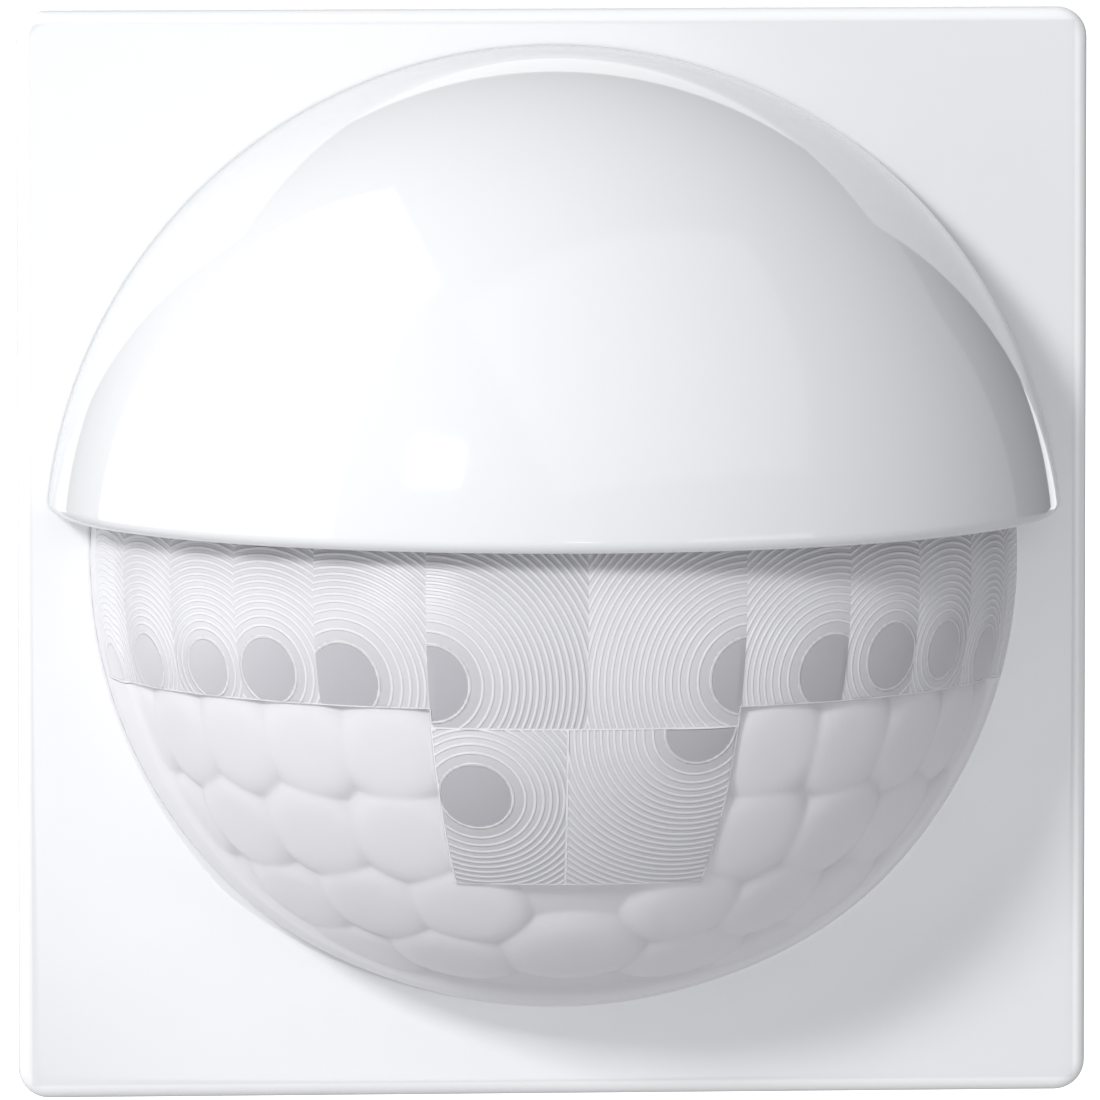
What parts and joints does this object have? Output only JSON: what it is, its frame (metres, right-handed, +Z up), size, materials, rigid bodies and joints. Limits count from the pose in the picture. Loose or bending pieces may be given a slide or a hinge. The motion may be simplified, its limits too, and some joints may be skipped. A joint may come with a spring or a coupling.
{
  "type": "motion sensor",
  "caption": "Flush-mounted passive infrared motion sensor: square cover plate with a ball head, grooved lens below and glossy hood above, on an insert with wire terminals and spreading claws.",
  "frame": {"origin": "centre of the support ring's rear face, in the plane of the wall", "axes": "-Y out of the wall into the room, +Y into the wall, +X to the right seen from the room, +Z up"},
  "size_m": [0.0706, 0.0768, 0.0716],
  "materials": {
    "white_cover": "high gloss",
    "hood_plastic": "high gloss",
    "lens_plastic": "milky translucent, moulded grooves",
    "head_plastic": "satin",
    "board": "solder mask",
    "black_plastic": "fine grain",
    "sensor_can": "nickel plated",
    "sensor_window": "dark infrared filter",
    "red_diode": "clear epoxy",
    "clear_diode": "clear epoxy",
    "capacitor_can": "bright",
    "blue_plastic": "satin",
    "dial_plastic": "satin",
    "gold_contact": "gold plated",
    "back_plastic": "fine grain",
    "zinc_steel": "zinc plated",
    "insert_plastic": "fine grain",
    "yellow_capacitor": "moulded box",
    "dark_sleeve": "shrunk sleeve",
    "varistor_coat": "dipped epoxy",
    "fuse_body": "ceramic tube",
    "choke_coat": "dipped epoxy",
    "terminal_plastic": "fine grain",
    "button_plastic": "satin",
    "spring_steel": "bright",
    "brass_nut": "plain"
  },
  "bodies": {
    "insert": {"support_ring": "zinc_steel", "ring_rivets": "zinc_steel", "insert_cup": "insert_plastic", "insert_cover": "insert_plastic", "cover_screws": "zinc_steel", "power_board": "board", "relay": "black_plastic", "film_capacitor": "yellow_capacitor", "smoothing_capacitor": "dark_sleeve", "varistor": "varistor_coat", "fuse": "fuse_body", "rectifier": "black_plastic", "choke": "choke_coat", "link_socket": "black_plastic", "terminal_live": "terminal_plastic", "terminal_neutral": "terminal_plastic", "terminal_load": "terminal_plastic", "terminal_remote": "terminal_plastic", "terminal_contacts": "gold_contact", "terminal_springs": "spring_steel"},
    "module": {"cover_plate": "white_cover", "lens_dome": "lens_plastic", "head_frame": "head_plastic", "sensor_board": "board", "sensor_holder": "black_plastic", "pyro_sensor_left": "sensor_can", "pyro_sensor_right": "sensor_can", "pyro_windows": "sensor_window", "status_led": "red_diode", "light_sensor": "clear_diode", "board_capacitors": "capacitor_can", "controller_chip": "black_plastic", "range_trimmer": "blue_plastic", "light_trimmer": "blue_plastic", "time_trimmer": "blue_plastic", "link_header": "black_plastic", "link_pins": "gold_contact", "module_back": "back_plastic", "back_screws": "zinc_steel"},
    "hood": {"hood": "hood_plastic"},
    "range_dial": {"range_dial": "dial_plastic"},
    "light_dial": {"light_dial": "dial_plastic"},
    "time_dial": {"time_dial": "dial_plastic"},
    "button_live": {"release_button_live": "button_plastic"},
    "button_neutral": {"release_button_neutral": "button_plastic"},
    "button_load": {"release_button_load": "button_plastic"},
    "button_remote": {"release_button_remote": "button_plastic"},
    "claw_screw_left": {"claw_screw_left": "zinc_steel"},
    "claw_nut_left": {"claw_nut_left": "brass_nut"},
    "claw_left": {"claw_left": "spring_steel"},
    "claw_screw_right": {"claw_screw_right": "zinc_steel"},
    "claw_nut_right": {"claw_nut_right": "brass_nut"},
    "claw_right": {"claw_right": "spring_steel"}
  },
  "joints": [
    {"name": "module_pull", "type": "slide", "parent": "insert", "child": "module", "axis": [0, -1, 0], "range_m": [0, 0.03]},
    {"name": "hood_pull", "type": "slide", "parent": "module", "child": "hood", "axis": [0, -1, 0], "range_m": [0, 0.04]},
    {"name": "range_turn", "type": "hinge", "parent": "module", "child": "range_dial", "pos_m": [-0.01, -0.0263, 0.015], "axis": [0, -1, 0], "range_deg": [-135, 135]},
    {"name": "light_turn", "type": "hinge", "parent": "module", "child": "light_dial", "pos_m": [0, -0.0263, 0.015], "axis": [0, -1, 0], "range_deg": [-135, 135]},
    {"name": "time_turn", "type": "hinge", "parent": "module", "child": "time_dial", "pos_m": [0.01, -0.0263, 0.015], "axis": [0, -1, 0], "range_deg": [-135, 135]},
    {"name": "button_live_press", "type": "slide", "parent": "insert", "child": "button_live", "axis": [0, -1, 0], "range_m": [0, 0.0015], "stiffness_N_per_m": 4000},
    {"name": "button_neutral_press", "type": "slide", "parent": "insert", "child": "button_neutral", "axis": [0, -1, 0], "range_m": [0, 0.0015], "stiffness_N_per_m": 4000},
    {"name": "button_load_press", "type": "slide", "parent": "insert", "child": "button_load", "axis": [0, -1, 0], "range_m": [0, 0.0015], "stiffness_N_per_m": 4000},
    {"name": "button_remote_press", "type": "slide", "parent": "insert", "child": "button_remote", "axis": [0, -1, 0], "range_m": [0, 0.0015], "stiffness_N_per_m": 4000},
    {"name": "claw_screw_left_turn", "type": "hinge", "parent": "insert", "child": "claw_screw_left", "pos_m": [-0.0244, 0, -0.006], "axis": [0, -1, 0], "range_deg": [-2890, 0]},
    {"name": "claw_nut_left_travel", "type": "slide", "parent": "insert", "child": "claw_nut_left", "axis": [0, -1, 0], "range_m": [0, 0.004]},
    {"name": "claw_left_spread", "type": "hinge", "parent": "claw_nut_left", "child": "claw_left", "pos_m": [-0.0244, 0.018, -0.006], "axis": [0, 0, -1], "range_deg": [0, 8.1]},
    {"name": "claw_screw_right_turn", "type": "hinge", "parent": "insert", "child": "claw_screw_right", "pos_m": [0.0244, 0, -0.006], "axis": [0, -1, 0], "range_deg": [-2890, 0]},
    {"name": "claw_nut_right_travel", "type": "slide", "parent": "insert", "child": "claw_nut_right", "axis": [0, -1, 0], "range_m": [0, 0.004]},
    {"name": "claw_right_spread", "type": "hinge", "parent": "claw_nut_right", "child": "claw_right", "pos_m": [0.0244, 0.018, -0.006], "axis": [0, 0, 1], "range_deg": [0, 8.1]}
  ],
  "couplings": [
    {"joint": "claw_screw_left_turn", "follows": "claw_nut_left_travel", "rad_per_m": -12566},
    {"joint": "claw_left_spread", "follows": "claw_nut_left_travel", "rad_per_m": 34.907},
    {"joint": "claw_screw_right_turn", "follows": "claw_nut_right_travel", "rad_per_m": -12566},
    {"joint": "claw_right_spread", "follows": "claw_nut_right_travel", "rad_per_m": 34.907}
  ]
}
